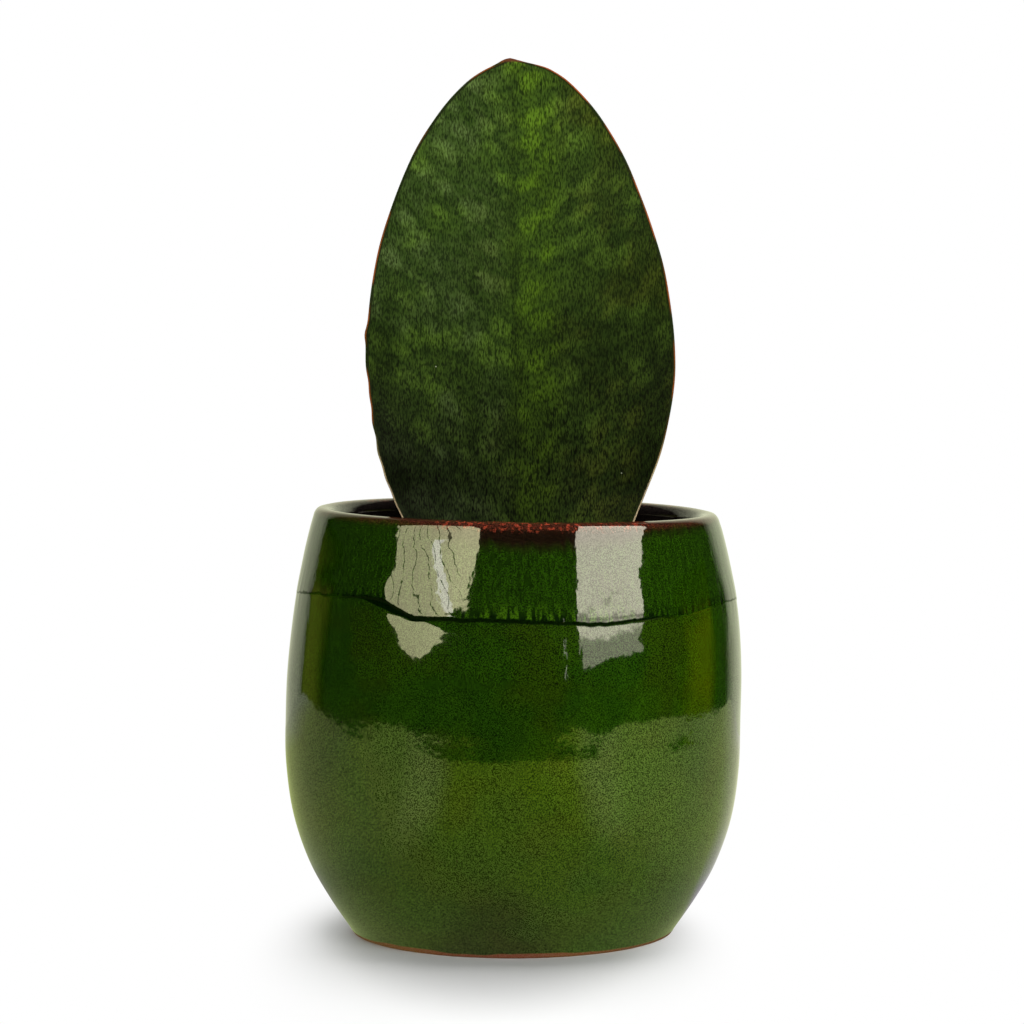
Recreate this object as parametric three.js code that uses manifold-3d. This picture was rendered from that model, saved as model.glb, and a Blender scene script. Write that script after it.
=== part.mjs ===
// A potted shark fin snake plant: one broad, stiff paddle leaf that stands in soil, in a barrel-shaped glazed pot.
// Units are millimetres and +Z is up. The origin is on the surface that the pot stands on, in the middle of its foot.
// The leaf's hollow face looks to -Y, which is the front. Angles round the pot start at +X and grow towards +Y.
import * as THREE from "three";
import { mergeVertices } from "three/addons/utils/BufferGeometryUtils.js";
import Module from "manifold-3d";

const wasm = await Module();
wasm.setup();

const { degToRad, lerp, radToDeg, smoothstep } = THREE.MathUtils;
const points = (pairs) => pairs.map(([x, y]) => new THREE.Vector2(x, y));

// Pot
const POT_HEIGHT = 167;
const POT_SIDES = 72;
const BELLY_RADIUS = 90;
const BELLY_Z = 86;
const FOOT_RADIUS = 63.5;
const FOOT_BEVEL = 1.2;
const FOOT_RING_WIDTH = 9;
const FOOT_RECESS = 3;
const LIP_RADIUS = 75.8;
const LIP_HALF_WIDTH = 4.5;
const LIP_HALF_HEIGHT = 5;
const LIP_STEPS = 8;
const FLOOR_THICKNESS = 11;
const OUTSIDE_STEPS = 20;
const INSIDE_STEPS = 12;

// The pot was thrown by hand: its rim dips a little at +X, and its upper body stands a little to +X of its foot.
const RIM_TILT = degToRad(1);
const BODY_SHIFT = 1.5;
const SHIFT_FROM_Z = 70;
const SHIFT_TO_Z = 135;

// The upper coat of glaze ends in a thick rolled edge, whose height changes round the pot: [angle in degrees, height].
const GLAZE_EDGE = [
  [-180, 133.2],
  [-150, 136.2],
  [-128, 137.6],
  [-110, 130.7],
  [-92, 131.1],
  [-70, 129.8],
  [-48, 131.4],
  [-22, 134.3],
  [10, 132.6],
  [48, 135.8],
  [85, 130.9],
  [128, 134.8],
  [155, 132],
  [180, 133.2],
];
const GLAZE_LEVEL = 132;
const GLAZE_COAT = 0.5;
const GLAZE_REACH = 18;
// The step of that edge: [height above its middle, share of the coat]
const GLAZE_STEP = [
  [-1.2, 0],
  [-0.6, 0.7],
  [0.4, 1.2],
  [1.3, 1.2],
];

// Soil
const SOIL_TOP = 140;
const SOIL_SIDES = POT_SIDES / 2;
const SOIL_RINGS = 11;
const SOIL_SWELL = 0.9;
const SOIL_SWELL_LENGTHS = [9, 7.5, 4.6];
const SOIL_GRAIN = 1.1;
const SOIL_RISE = 2.2;
const SOIL_DIP = 1.6;
const CRUMBS = 64;
const CRUMB_SMALL = 1.8;
const CRUMB_LARGE = 3.8;
const SEED = 7;

// Leaf
const LEAF_TOP = 344.6;
const LEAF_BOTTOM = 100;
const LEAF_HALF_WIDTH = 60.8;
const LEAF_WIDEST_Z = 230;
const LEAF_ROWS = 46;
const LEAF_COLUMNS = 16;
const MARGIN_THICKNESS = 1.7;
const MARGIN_BEAD = 0.5;
const MARGIN_WAVE = 0.8;
const MARGIN_WAVE_LENGTH = 58;

// How the leaf changes from the soil up, each as [height, value]: the thickness in its middle; the curve of the
// hollow face, whose margins come forward by this times the distance squared; the place of the middle seen from the
// front; and its backward arch seen from the side.
const CENTRE_THICKNESS = [
  [SOIL_TOP, 7.5],
  [190, 4.6],
  [260, 3.4],
  [LEAF_TOP, 1.9],
];
const HOLLOW = [
  [SOIL_TOP, 0.0085],
  [178, 0.0034],
  [232, 0.0014],
  [LEAF_TOP, 0.0011],
];
const MIDDLE_X = [
  [165, 2.3],
  [212, 3.3],
  [300, 2.2],
  [LEAF_TOP - 4, 2.1],
  [LEAF_TOP, -1],
];
const ARCH_Y = [
  [SOIL_TOP, 4],
  [220, 3],
  [LEAF_TOP, 9],
];

// Pieces that touch keep this gap.
const GAP = 0.3;

function seededRandom(seed) {
  let state = seed;
  return () => {
    state = (state * 16807) % 2147483647;
    return state / 2147483647;
  };
}

// A value that runs smoothly through [place, value] pairs, which are listed from the lowest place up
function valueAlong(pairs, place) {
  const last = pairs.length - 1;
  if (place <= pairs[0][0]) return pairs[0][1];
  if (place >= pairs[last][0]) return pairs[last][1];
  const i = pairs.findIndex(([start]) => start > place) - 1;
  const [place0, value0] = pairs[i];
  const [place1, value1] = pairs[i + 1];
  return lerp(value0, value1, smoothstep(place, place0, place1));
}

function solidOf(geometry) {
  const bare = new THREE.BufferGeometry();
  bare.setAttribute("position", geometry.getAttribute("position"));
  bare.setIndex(geometry.index);
  const merged = mergeVertices(bare, 1e-4);
  return new wasm.Manifold(
    new wasm.Mesh({
      numProp: 3,
      vertProperties: merged.attributes.position.array,
      triVerts: new Uint32Array(merged.index.array),
    }),
  );
}

function geometryOf(solid) {
  const { vertProperties, triVerts } = solid.getMesh();
  const geometry = new THREE.BufferGeometry();
  geometry.setAttribute("position", new THREE.BufferAttribute(vertProperties, 3));
  geometry.setIndex(new THREE.BufferAttribute(triVerts, 1));
  geometry.computeVertexNormals();
  return geometry;
}

function meshOf(name, geometry, color, roughness) {
  const mesh = new THREE.Mesh(geometry, new THREE.MeshStandardMaterial({ color, roughness, metalness: 0 }));
  mesh.name = name;
  return mesh;
}

// A profile of (radius, height) points, turned round Z. The change to each vertex gets its place in the profile and
// its side, which counts round the turn.
function turned(profile, sides, change) {
  const geometry = new THREE.LatheGeometry(profile, sides).rotateX(Math.PI / 2);
  const position = geometry.getAttribute("position");
  const point = new THREE.Vector3();
  for (let i = 0; i < position.count; i++) {
    point.fromBufferAttribute(position, i);
    change(point, i % profile.length, Math.floor(i / profile.length) % sides);
    position.setXYZ(i, point.x, point.y, point.z);
  }
  geometry.computeVertexNormals();
  return geometry;
}

// Rings with equally many points, listed upwards and each anticlockwise from above, joined into one closed skin. The
// second half of a ring is split the other way, so that both faces of a blade have like triangles.
function lofted(rings, lowEnd, highEnd) {
  const size = rings[0].length;
  const skin = [...rings.flat(), lowEnd, highEnd];
  const low = skin.length - 2;
  const high = skin.length - 1;
  const top = (rings.length - 1) * size;
  const faces = [];
  for (let i = 0; i < size; i++) {
    const next = (i + 1) % size;
    faces.push(low, next, i, high, top + i, top + next);
    for (let here = 0; here < top; here += size) {
      const above = here + size;
      if (i < size / 2) {
        faces.push(here + i, here + next, above + next, here + i, above + next, above + i);
      } else {
        faces.push(here + i, here + next, above + i, here + next, above + next, above + i);
      }
    }
  }
  const geometry = new THREE.BufferGeometry().setFromPoints(skin);
  geometry.setIndex(faces);
  geometry.computeVertexNormals();
  return geometry;
}

function handThrown(point) {
  point.z -= point.x * (RIM_TILT * point.z) / POT_HEIGHT;
  point.x += BODY_SHIFT * smoothstep(point.z, SHIFT_FROM_Z, SHIFT_TO_Z);
}

// The pot's walls from the foot up outside, and from the lip down inside
const outside = new THREE.SplineCurve(
  points([
    [FOOT_RADIUS + FOOT_BEVEL, 2],
    [72.8, 14],
    [80.6, 28],
    [86.8, 46],
    [89.7, 66],
    [BELLY_RADIUS, BELLY_Z],
    [89.7, 106],
    [87.9, 125],
    [84.6, 146],
    [LIP_RADIUS + LIP_HALF_WIDTH, POT_HEIGHT - LIP_HALF_HEIGHT],
  ]),
);

const inside = new THREE.SplineCurve(
  points([
    [LIP_RADIUS - LIP_HALF_WIDTH, POT_HEIGHT - LIP_HALF_HEIGHT],
    [76.6, 146],
    [80.1, 125],
    [BELLY_RADIUS - 8, BELLY_Z],
    [78.6, 46],
    [71.5, 27],
    [61, 16],
    [46, FLOOR_THICKNESS],
  ]),
).getSpacedPoints(INSIDE_STEPS);

// The outside with the step of the upper coat: each point has the thickness of its coat, and how far it follows the
// coat's edge up and down.
function glazedOutside() {
  const plain = outside.getSpacedPoints(OUTSIDE_STEPS);
  const below = plain.filter(({ y }) => y < GLAZE_LEVEL + 2 * GLAZE_STEP[0][0]);
  const above = plain.filter(({ y }) => y > GLAZE_LEVEL + 2 * GLAZE_STEP[3][0]);
  const lower = below.at(-1);
  const upper = above[0];
  const follows = (point) => 1 - smoothstep(Math.abs(point.y - GLAZE_LEVEL), 0, GLAZE_REACH);
  const step = GLAZE_STEP.map(([rise, share]) => {
    const z = GLAZE_LEVEL + rise;
    const radius = lerp(lower.x, upper.x, (z - lower.y) / (upper.y - lower.y));
    return { point: new THREE.Vector2(radius, z), follows: 1, coat: share * GLAZE_COAT };
  });
  return [
    ...below.map((point) => ({ point, follows: follows(point), coat: 0 })),
    ...step,
    ...above.map((point) => ({ point, follows: follows(point), coat: GLAZE_COAT })),
  ];
}

function makePot() {
  const bare = (list) => list.map((point) => ({ point, follows: 0, coat: 0 }));
  const ringInside = FOOT_RADIUS - FOOT_RING_WIDTH;
  const foot = points([
    [0, FOOT_RECESS],
    [ringInside - FOOT_RECESS, FOOT_RECESS],
    [ringInside, 0],
    [FOOT_RADIUS, 0],
  ]);
  const lipZ = POT_HEIGHT - LIP_HALF_HEIGHT;
  const lipArc = new THREE.EllipseCurve(LIP_RADIUS, lipZ, LIP_HALF_WIDTH, LIP_HALF_HEIGHT, 0, Math.PI);
  const lip = lipArc.getPoints(LIP_STEPS).slice(1, -1);
  const entries = [
    ...bare(foot),
    ...glazedOutside(),
    ...bare(lip),
    ...bare(inside),
    ...bare(points([[0, FLOOR_THICKNESS - 1]])),
  ];
  const profile = entries.map(({ point }) => point);
  const geometry = turned(profile, POT_SIDES, (point, place) => {
    const { follows, coat } = entries[place];
    const angle = Math.atan2(point.y, point.x);
    point.x += coat * Math.cos(angle);
    point.y += coat * Math.sin(angle);
    point.z += follows * (valueAlong(GLAZE_EDGE, radToDeg(angle)) - GLAZE_LEVEL);
    handThrown(point);
  });
  return meshOf("pot", geometry, 0x23480c, 0.12);
}

// The leaf's outline from its tip down: half its width at each height
const leafOutline = new THREE.SplineCurve(
  points([
    [1.6, LEAF_TOP - 0.3],
    [5.3, LEAF_TOP - 1.6],
    [13.4, LEAF_TOP - 4.7],
    [21.6, LEAF_TOP - 10.6],
    [31.8, LEAF_TOP - 22.4],
    [42.4, LEAF_TOP - 40],
    [51.8, LEAF_TOP - 64],
    [57.8, LEAF_TOP - 87],
    [LEAF_HALF_WIDTH, LEAF_WIDEST_Z],
    [59.5, 210],
    [54.8, 187],
    [46.4, 164.5],
    [36.2, 143],
    [27.5, 125],
    [22, 111],
    [18, LEAF_BOTTOM],
  ]),
).getSpacedPoints(LEAF_ROWS);

function leafMiddle(z) {
  return new THREE.Vector3(valueAlong(MIDDLE_X, z), valueAlong(ARCH_Y, z), z);
}

// Gentle waves run along the blade's margins, not along the part in the soil.
function marginWave(z, across) {
  const share = smoothstep(z, SOIL_TOP + 10, SOIL_TOP + 60) * across ** 4;
  const phase = across > 0 ? 0.8 : 3.3;
  return share * MARGIN_WAVE * Math.sin((2 * Math.PI * z) / MARGIN_WAVE_LENGTH + phase);
}

// One point of the leaf's skin. Across runs from -1 to 1, and face is -1 on the front and 1 on the back.
function leafPoint(halfWidth, z, across, face) {
  const fullness = 1 - Math.abs(across) ** 2.5;
  const thickness = lerp(MARGIN_THICKNESS, valueAlong(CENTRE_THICKNESS, z), fullness);
  const x = halfWidth * across;
  const y = (face * thickness) / 2 - valueAlong(HOLLOW, z) * x * x + marginWave(z, across);
  return new THREE.Vector3(x, y, 0).add(leafMiddle(z));
}

// One level of the leaf, anticlockwise from above, with a bead along each margin
function leafRing(halfWidth, z) {
  const bead = Math.min(MARGIN_BEAD, halfWidth / 4);
  const columns = Array.from({ length: LEAF_COLUMNS + 1 }, (_, i) => (2 * i) / LEAF_COLUMNS - 1);
  const front = columns.map((across) => leafPoint(halfWidth - bead, z, across, -1));
  const back = columns.toReversed().map((across) => leafPoint(halfWidth - bead, z, across, 1));
  return [...front, leafPoint(halfWidth, z, 1, 0), ...back, leafPoint(halfWidth, z, -1, 0)];
}

function makeLeaf() {
  const rings = leafOutline.toReversed().map(({ x, y }) => leafRing(x, y));
  const geometry = lofted(rings, leafMiddle(LEAF_BOTTOM), leafMiddle(LEAF_TOP));
  return meshOf("leaf", geometry, 0x33481e, 0.5);
}

// A plain upright hole with the leaf's section where it enters the soil, a gap larger all round
function leafHole() {
  const entry = leafOutline.find(({ y }) => y < SOIL_TOP + 8);
  const middle = leafMiddle(SOIL_TOP);
  const section = leafRing(entry.x + GAP, SOIL_TOP).map((point, i) => {
    const outward = i <= LEAF_COLUMNS ? -1 : 1;
    const onMargin = i === LEAF_COLUMNS + 1 || i === 2 * LEAF_COLUMNS + 3;
    return point.setY(point.y + (onMargin ? 0 : 1.5 * outward * GAP));
  });
  const level = (z) => section.map((point) => point.clone().setZ(z));
  const bottom = LEAF_BOTTOM - GAP;
  const top = SOIL_TOP + 12;
  return lofted([level(bottom), level(top)], middle.clone().setZ(bottom), middle.clone().setZ(top));
}

// The crumbly top of the soil: low swells, a slight rise round the leaf and a dip along the wall
function soilRelief(x, y, share) {
  const [lengthX, lengthY, lengthSlant] = SOIL_SWELL_LENGTHS;
  const broad = Math.sin(x / lengthX + 1) * Math.cos(y / lengthY);
  const slanted = (2 / 3) * Math.sin((x - y) / lengthSlant);
  const rise = SOIL_RISE * Math.exp(-((x / 33) ** 2 + (y / 16) ** 2));
  return SOIL_SWELL * (broad + slanted) + rise - SOIL_DIP * smoothstep(share, 0.8, 1);
}

function makeCrumb(random, reach) {
  const size = lerp(CRUMB_SMALL, CRUMB_LARGE, random());
  const away = Math.sqrt(random()) * (reach - 2 * CRUMB_LARGE);
  const angle = 2 * Math.PI * random();
  const x = away * Math.cos(angle);
  const y = away * Math.sin(angle);
  const crumb = new THREE.IcosahedronGeometry(size, 0);
  crumb.deleteAttribute("normal");
  crumb.deleteAttribute("uv");
  crumb.scale(1, 0.75 + 0.5 * random(), 0.8);
  crumb.rotateZ(2 * Math.PI * random());
  crumb.rotateX(random());
  crumb.translate(x, y, SOIL_TOP + soilRelief(x, y, away / reach) + size / 4);
  return solidOf(mergeVertices(crumb, 1e-4));
}

// The soil fills the pot's inside up to SOIL_TOP, with a crumbly top.
function makeSoil() {
  const random = seededRandom(SEED);
  const above = inside.findLast(({ y }) => y > SOIL_TOP);
  const below = inside.find(({ y }) => y < SOIL_TOP);
  const reach = lerp(below.x, above.x, (SOIL_TOP - below.y) / (above.y - below.y)) - GAP;
  const wall = inside.filter(({ y }) => y < SOIL_TOP).map(({ x, y }) => [x - GAP, y + GAP]);
  const top = Array.from({ length: SOIL_RINGS }, (_, i) => [reach * (1 - i / SOIL_RINGS), SOIL_TOP]);
  const profile = points([[0, FLOOR_THICKNESS + GAP], ...wall.toReversed(), ...top, [0, SOIL_TOP]]);
  const firstTop = 1 + wall.length;
  const grains = Array.from({ length: SOIL_SIDES * profile.length }, () => SOIL_GRAIN * (random() - 0.5));
  const bed = turned(profile, SOIL_SIDES, (point, place, side) => {
    const share = Math.hypot(point.x, point.y) / reach;
    if (place >= firstTop) point.z += soilRelief(point.x, point.y, share);
    if (place > firstTop && place < profile.length - 1) point.z += grains[side * profile.length + place];
    handThrown(point);
  });
  const crumbs = Array.from({ length: CRUMBS }, () => makeCrumb(random, reach));
  const cut = wasm.Manifold.union([solidOf(bed), ...crumbs]).subtract(solidOf(leafHole()));
  const [body] = cut.decompose().sort((a, b) => b.volume() - a.volume());
  return meshOf("soil", geometryOf(body), 0x2c1e14, 0.95);
}

const plant = new THREE.Group();
plant.add(makePot(), makeSoil(), makeLeaf());

export default plant;
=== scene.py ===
"""The looks of a potted shark fin snake plant: a broad mottled leaf, potting mix and a green pot.

Lengths are in millimetres until a mesh or the camera is made. The front is -Y. Angles round the pot are
in degrees from +X towards +Y, and azimuths of the studio's cards in degrees from the front towards +X.
Colours are linear.
"""

import math

import bmesh
import bpy
import numpy as np
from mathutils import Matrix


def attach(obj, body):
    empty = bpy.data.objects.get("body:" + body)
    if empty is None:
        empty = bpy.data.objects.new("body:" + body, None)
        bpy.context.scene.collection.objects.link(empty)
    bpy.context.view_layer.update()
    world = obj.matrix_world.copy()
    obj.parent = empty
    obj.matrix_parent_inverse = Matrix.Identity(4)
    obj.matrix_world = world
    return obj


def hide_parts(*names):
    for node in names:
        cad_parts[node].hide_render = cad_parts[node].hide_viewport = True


MM = 0.001

# Camera, fitted to the ellipses of the lip and the foot
CAMERA_SIDE = -0.2
CAMERA_DISTANCE = 1380.2
CAMERA_HEIGHT = 256.3
CAMERA_PITCH = 3.749
FOCAL_LENGTH = 123.13
SENSOR_WIDTH = 36

# Pot
POT_HEIGHT = 167
POT_SIDES = 640
FOOT_RADIUS = 63.5
FOOT_RING_WIDTH = 9
FOOT_RECESS = 3
FOOT_ROUND = 0.5
FLOOR_THICKNESS = 11
RIM_TILT = math.radians(1)
BODY_SHIFT = 1.5
SHIFT_FROM_Z = 70
SHIFT_TO_Z = 135
POT_SECTION = [
    (64.7, 2),
    (72.8, 14),
    (80.6, 28),
    (86.8, 46),
    (89.7, 66),
    (90, 86),
    (89.7, 106),
    (87.9, 125),
    (84.4, 145),
    (82.2, 155),
    (80.1, 163),
    (79.4, 165.1),
    (78.1, 166.5),
    (75.8, POT_HEIGHT),
    (73.2, 166.3),
    (71.8, 164.4),
    (71.4, 161.5),
    (71.9, 157.5),
    (73.6, 152.5),
    (76.6, 146),
    (80.1, 125),
    (82, 86),
    (78.6, 46),
    (71.5, 27),
    (61, 16),
    (46, FLOOR_THICKNESS),
]
# The section's curve is cut this fine
SECTION_STEPS = 4000
# The rows of the pot's mesh, as (height that they reach, distance between them)
OUTSIDE_ROWS = [(122, 2.6), (128.4, 0.9), (134.4, 0.3), (160, 1.9), (POT_HEIGHT, 0.5)]
INSIDE_ROWS = [(158, 0.6), (130, 3), (FLOOR_THICKNESS, 12)]

# The edge of the upper coat of glaze as (angle, height), the coat's thickness there as (angle,
# thickness), and how the coat steps out as (height above the edge, share of that thickness)
GLAZE_EDGE = [
    (-180, 133.2),
    (-150, 136.2),
    (-128, 137.4),
    (-114, 131),
    (-92, 131.1),
    (-70, 129.8),
    (-48, 131.4),
    (-22, 134.3),
    (10, 132.6),
    (48, 135.8),
    (85, 130.9),
    (128, 134.8),
    (155, 132),
    (180, 133.2),
]
COAT_THICKNESS = [
    (-180, 0.08),
    (-150, 0.12),
    (-134, 0.3),
    (-116, 0.75),
    (-96, 0.45),
    (-58, 0.38),
    (-40, 0.12),
    (60, 0.5),
    (120, 0.4),
    (180, 0.08),
]
COAT_STEP = [(-0.9, 0), (0.5, 0.92), (3, 1)]
# The coat thins out to nothing below the lip
COAT_THINS_FROM = 160
COAT_ENDS_AT = 166.5
# Where the coat has sagged before it froze, as (angle, how far below the edge its swelling starts)
SAG_REACH = [
    (-180, 0),
    (-134, 0),
    (-125, 3.6),
    (-119, 2.6),
    (-114, 1.8),
    (-106, 4.4),
    (-99, 5),
    (-93, 0),
    (180, 0),
]
SAG_SLOPE = 0.075
# The dark line under the edge, as (angle, width)
LINE_WIDTH = [
    (-180, 0.3),
    (-134, 0.8),
    (-124, 3.2),
    (-117, 1.8),
    (-110, 1),
    (-80, 0.9),
    (-45, 0.4),
    (180, 0.3),
]
# Where the coat has pooled into lobes, as (angle, share)
POOLED = [(-180, 0), (-108, 0), (-96, 1), (-66, 1), (-55, 0), (180, 0)]
# How bright the glaze is round the pot, as (angle, factor): painted light, brighter on its right side
GLAZE_PAINTED_LIGHT = [(-180, 1.1), (-98, 1.1), (-49, 1.5), (60, 1.5), (150, 1.1), (180, 1.1)]
# The mesh's rows at this height are moved to the edge, and those within this reach of it move along
GLAZE_LEVEL = 132
GLAZE_REACH = 18
# The radius at which distances round the glaze are measured
GLAZE_RADIUS = 88
# How far the glaze has burnt to rust below the lip, as (angle, distance)
RUST_REACH = [
    (-180, 7),
    (-150, 4),
    (-128, 4.5),
    (-116, 6.5),
    (-106, 11),
    (-85, 13),
    (-65, 11),
    (-45, 7.2),
    (0, 6),
    (40, 9),
    (90, 4),
    (140, 10),
    (180, 7),
]
# What the glaze's material reads round the pot, as (field, table, value at the poles)
ROUND_FIELDS = [
    ("rust", RUST_REACH, 0),
    ("coat", COAT_THICKNESS, 0),
    ("line_width", LINE_WIDTH, 0),
    ("pooled", POOLED, 0),
    ("tone", GLAZE_PAINTED_LIGHT, 1.1),
]
# What the material reads as the height inside the pot, and as the rise above the edge at its poles
INSIDE_HEIGHT = 99
POLE_RISE = -99
# The cracks: the distance between them, how far they wander, and the height that they lean about
CRACK_GAP = 4.8
CRACK_WANDER = 14
CRACK_LEVEL = 150
# Below this height the glaze is calmer and pitted
SHOULDER = 122
# Random relief of the coat's edge and of the wall, in layers of (height, length, seed)
EDGE_SWELLS = [(0.3, 11, 51), (0.2, 4.5, 52)]
WALL_SWELLS = [(0.16, 75, 5), (0.035, 22, 6)]
# The wall is even up to the first of these heights and fully uneven from the second
EVEN_TO = 2
UNEVEN_FROM = 20

# Soil
SOIL_TOP = 140
SOIL_REACH = 77.3
SOIL_SIDES = 220
SOIL_RINGS = 64
SOIL_SWELLS = [(0.9, 16, 31), (0.5, 6, 32), (0.25, 2.6, 33)]
# The soil dips towards the pot's wall, from this share of the way out
SOIL_DIP = 1.6
DIP_FROM = 0.8
# The soil rises round the leaf, and the rise reaches this far along X and Y
SOIL_RISE = 2.2
RISE_REACH = (33, 16)
# The bed keeps this far off the pot and the leaf, and the pot's inside wall is so many last points of
# its section
SOIL_GAP = 0.3
WALL_POINTS = 7
# The hole that the leaf stands in: half its length and width, and the heights of its rings
HOLE_SIZE = (38, 4.6)
HOLE_LEVELS = (136, 120)
# How many lumps lie on the bed, and where none do: near the wall, and round the leaf along X and Y
CRUMBS = 620
BARK_CHIPS = 70
PERLITE_GRAINS = 60
WALL_CLEARANCE = 4.5
LEAF_CLEARANCE = (42, 6)
# A lump's bumps are this long for a radius of 1. Its sides vary by these factors, it leans by about
# this angle, and its middle lies above the bed by this share of its height
BUMP_LENGTH = 1.3
LUMP_FACTORS = (0.75, 1.25)
LUMP_LEAN = 0.35
LUMP_RISE = 0.35

# Leaf
LEAF_TOP = 344.6
LEAF_BOTTOM = 100
LEAF_ROWS = 300
LEAF_COLUMNS = 72
# How far the columns crowd towards the margins, from 0 to 1
COLUMN_CROWDING = 0.75
# Where the leaf stands in the soil, and how hollow it is there
LEAF_X = 2.3
LEAF_Y = 4
LEAF_HOLLOW = 0.0085
# How blunt the blade's section is: its thickness falls off with this power of the share outwards
BLUNTNESS = 2.5
MARGIN_STEPS = 5
MARGIN_THICKNESS = 1.7
MARGIN_BEAD = 0.7
# The waves of the margins, with the phases of the right and the left one, and the heights above the
# soil between which they set in
MARGIN_WAVE = 0.8
MARGIN_WAVE_LENGTH = 58
MARGIN_PHASES = (0.8, 3.3)
WAVES_FROM = 10
WAVES_FULL_AT = 60
# How the margins waver, and how far in from them the waver, the kink and the nicks fade out
MARGIN_WAVER = 0.12
MARGIN_WAVER_LENGTH = 22
MARGIN_REACH = 3
# The left margin's kink, and the small nicks that set in below it
KINK_HEIGHT = 236
KINK_WIDTH = 0.8
KINK_REACH = 3.2
NICK_DEPTH = 0.35
NICK_LENGTH = 11
NICKS_FADE = 20
# Ribs along the blade, in layers of (height, width, width over length, seed)
RIBS = [(0.12, 14, 0.3, 3), (0.04, 4.5, 0.08, 4)]
LEAF_OUTLINE = [
    (1.6, LEAF_TOP - 0.3),
    (5.3, LEAF_TOP - 1.6),
    (13.4, LEAF_TOP - 4.7),
    (21.6, LEAF_TOP - 10.6),
    (31.8, LEAF_TOP - 22.4),
    (42.4, LEAF_TOP - 40),
    (51.8, LEAF_TOP - 64),
    (57.8, LEAF_TOP - 87),
    (60.8, 230),
    (59.5, 210),
    (54.8, 187),
    (46.4, 164.5),
    (36.2, 143),
    (27.5, 125),
    (22, 111),
    (18, LEAF_BOTTOM),
]
CENTRE_THICKNESS = [(SOIL_TOP, 7.5), (190, 4.6), (260, 3.4), (LEAF_TOP, 1.9)]
HOLLOW = [(SOIL_TOP, LEAF_HOLLOW), (178, 0.0034), (232, 0.0014), (LEAF_TOP, 0.0011)]
MIDDLE_X = [(165, LEAF_X), (212, 3.3), (300, 2.2), (LEAF_TOP - 4, 2.1), (LEAF_TOP, -1)]
ARCH_Y = [(SOIL_TOP, LEAF_Y), (220, 3), (LEAF_TOP, 9)]

# Studio: cards on a wide circle round the pot as (azimuth, height) corners, with the light that they send
CARD_RADIUS = 1250
LEFT_CARD = [
    (-62, 252),
    (-64, 365),
    (-69, 580),
    (-73, 720),
    (-78, 1100),
    (-73, 1600),
    (-64, 2200),
    (-38, 2800),
    (-22, 1500),
    (-19, 700),
    (-23, 440),
    (-26, 392),
    (-31, 350),
    (-39, 293),
    (-46, 226),
    (-52, 232),
    (-56, 238),
]
LEFT_STREAK = [
    (-46, 561),
    (-44, 610),
    (-37, 665),
    (-37, 648),
    (-42, 575),
    (-40, 487),
    (-34, 379),
    (-28, 356),
    (-27, 326),
    (-33, 306),
    (-37.5, 348),
    (-41, 371),
    (-45, 470),
]
STREAK_RADIUS = 1050
# The left card is stronger towards its right side, between these places along X
SIDE_FROM = -1050
SIDE_TO = -500
SIDE_SHARES = (0.9, 1.35)
RIGHT_CARD = [
    (33, 150),
    (33, 378),
    (33, 560),
    (35, 835),
    (52, 1900),
    (81, 3450),
    (96, 2270),
    (101, 1510),
    (84, 900),
    (74, 560),
    (66, 363),
    (63, 272),
    (66, 225),
    (47, 222),
]
SLIT_CARD = [(23.8, 380), (24.2, 380), (24.2, 90), (23.8, 90)]
RIGHT_OCHRE = [(88, 330), (120, 330), (120, -230), (88, -230)]
LEFT_OCHRE = [(-137, 380), (-107, 380), (-107, -260), (-137, -260)]
LEFT_LIGHT = (6.1, 5.85, 3.4)
STREAK_LIGHT = (11, 10.6, 8.8)
RIGHT_LIGHT = (9.0, 8.4, 6.7)
SLIT_LIGHT = (6, 6, 5)
RIGHT_OCHRE_LIGHT = (0.40, 0.46, 0)
LEFT_OCHRE_LIGHT = (0.26, 0.31, 0.03)
# The right card is weaker below a line that slopes down to the right
LOW_SHARE = 0.36
LOW_SLOPE = 0.1
LOW_FROM = 425
LOW_TO = 462
BACK_LIGHT = (0.90, 0.94, 0.66)
BACK_Y = 800
BACK_LEFT = -1120
BACK_RIGHT = 1000
BACK_BORDER = 420
BACK_WAVER = 260
# The back card is at full strength up to one height and weak from the other, and weaker on its left,
# where it changes over this far to both sides of the middle
BACK_FULL_TO = 300
BACK_WEAK_FROM = 850
BACK_HIGH_SHARE = 0.5
BACK_LEFT_SHARE = 0.72
BACK_TURN = 500
BACK_FOOT = -240
BACK_HEIGHT = 1000
OVERHEAD_LIGHT = 5
OVERHEAD_SIZE = 1500
OVERHEAD_MIDDLE = (150, 250, 1800)
FRONT_LIGHT = 5
FRONT_SIZE = 1200
FRONT_MIDDLE = (350, -1400, 950)
FRONT_LEAN = 60
STUDIO_GLOW = 0.012

# The table that the glaze mirrors: the corners of its edge
TABLE_EDGE = [
    (-996, 765),
    (-960, 333),
    (-998, -6),
    (-960, -270),
    (-804, -589),
    (-620, -605),
    (-500, -655),
    (-400, -700),
    (-250, -765),
    (-60, -718),
    (206, -689),
    (359, -608),
    (392, -510),
    (460, -461),
    (568, -461),
    (630, -374),
    (645, -200),
    (655, 40),
    (625, 230),
    (591, 343),
    (545, 523),
]
TABLE_Z = -0.05
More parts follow.
